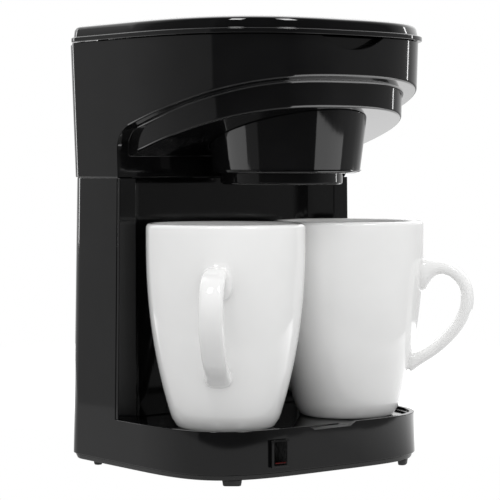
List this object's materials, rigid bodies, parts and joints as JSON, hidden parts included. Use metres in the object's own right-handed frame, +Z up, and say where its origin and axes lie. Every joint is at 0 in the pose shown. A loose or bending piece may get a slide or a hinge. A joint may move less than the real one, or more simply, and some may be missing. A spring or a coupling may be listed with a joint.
{
  "type": "drip coffee maker",
  "caption": "Compact drip coffee maker: back tower with overhanging head, hinged lid, lift-out filter and a low platform carrying ceramic mugs.",
  "frame": {"origin": "on the table under the feet, on the machine's left-right middle", "axes": "+X to the right as you face the machine, -Y to the front, +Z up"},
  "size_m": [0.1818, 0.1467, 0.2352],
  "materials": {
    "main_body": "high-gloss black moulding",
    "front_panel": "high-gloss black moulding",
    "bottom_plate": "satin black moulding",
    "feet": "moulded rubber",
    "bottom_screws": "zinc-plated steel",
    "head_housing": "high-gloss black moulding",
    "head_screws": "zinc-plated steel",
    "deck": "satin black moulding",
    "brew_drum": "high-gloss black moulding",
    "water_tank": "satin grey polypropylene",
    "valve_ball": "stainless ball",
    "tank_hose": "translucent silicone",
    "riser_tube": "translucent silicone",
    "riser_seal": "silicone",
    "hose_clamps": "spring steel",
    "heater": "cast aluminium",
    "heater_strap": "plated steel",
    "strap_screws": "zinc-plated steel",
    "thermostat": "aluminium cap on a strap",
    "thermal_fuses": "glass-fibre sleeve",
    "switch_housing": "satin black nylon",
    "switch_terminals": "plated brass",
    "rocker": "dark translucent red",
    "terminal_block": "natural nylon",
    "wires": "insulated leads",
    "lid": "high-gloss black moulding",
    "lid_pins": "steel",
    "spreader": "satin black moulding",
    "filter_holder": "black polypropylene",
    "filter_frame": "satin black moulding",
    "filter_mesh": "woven nylon",
    "mug_left": "white glazed ceramic",
    "mug_right": "white glazed ceramic"
  },
  "bodies": {
    "machine": {"main_body": "main_body", "front_panel": "front_panel", "bottom_plate": "bottom_plate", "feet": "feet", "bottom_screws": "bottom_screws", "head_housing": "head_housing", "head_screws": "head_screws", "deck": "deck", "brew_drum": "brew_drum", "water_tank": "water_tank", "valve_ball": "valve_ball", "tank_hose": "tank_hose", "riser_tube": "riser_tube", "riser_seal": "riser_seal", "hose_clamps": "hose_clamps", "heater": "heater", "heater_strap": "heater_strap", "strap_screws": "strap_screws", "thermostat": "thermostat", "thermal_fuses": "thermal_fuses", "switch_housing": "switch_housing", "switch_terminals": "switch_terminals", "terminal_block": "terminal_block", "wires": "wires"},
    "lid": {"lid": "lid", "lid_pins": "lid_pins", "spreader": "spreader"},
    "holder": {"filter_holder": "filter_holder"},
    "filter": {"filter_frame": "filter_frame", "filter_mesh": "filter_mesh"},
    "rocker": {"rocker": "rocker"},
    "mug_left": {"mug_left": "mug_left"},
    "mug_right": {"mug_right": "mug_right"}
  },
  "joints": [
    {"name": "lid_hinge", "type": "hinge", "parent": "machine", "child": "lid", "pos_m": [0, 0.0665, 0.2275], "axis": [-1, 0, 0], "range_deg": [0, 100]},
    {"name": "holder_lift", "type": "slide", "parent": "machine", "child": "holder", "axis": [0, 0, 1], "range_m": [0, 0.074]},
    {"name": "filter_lift", "type": "slide", "parent": "machine", "child": "filter", "axis": [0, 0, 1], "range_m": [0, 0.076]},
    {"name": "rocker_tilt", "type": "hinge", "parent": "machine", "child": "rocker", "pos_m": [-0.0355, -0.05605, 0.0154], "axis": [0.9973, -0.0732, 0], "range_deg": [-5, 8]},
    {"name": "mug_left_out", "type": "slide", "parent": "machine", "child": "mug_left", "axis": [0, -0.9816, 0.1908], "range_m": [0, 0.12]},
    {"name": "mug_right_out", "type": "slide", "parent": "machine", "child": "mug_right", "axis": [0, -0.9816, 0.1908], "range_m": [0, 0.12]}
  ],
  "couplings": [
    {"joint": "holder_lift", "follows": "lid_hinge", "m_per_rad": 0.042},
    {"joint": "filter_lift", "follows": "lid_hinge", "m_per_rad": 0.043}
  ]
}
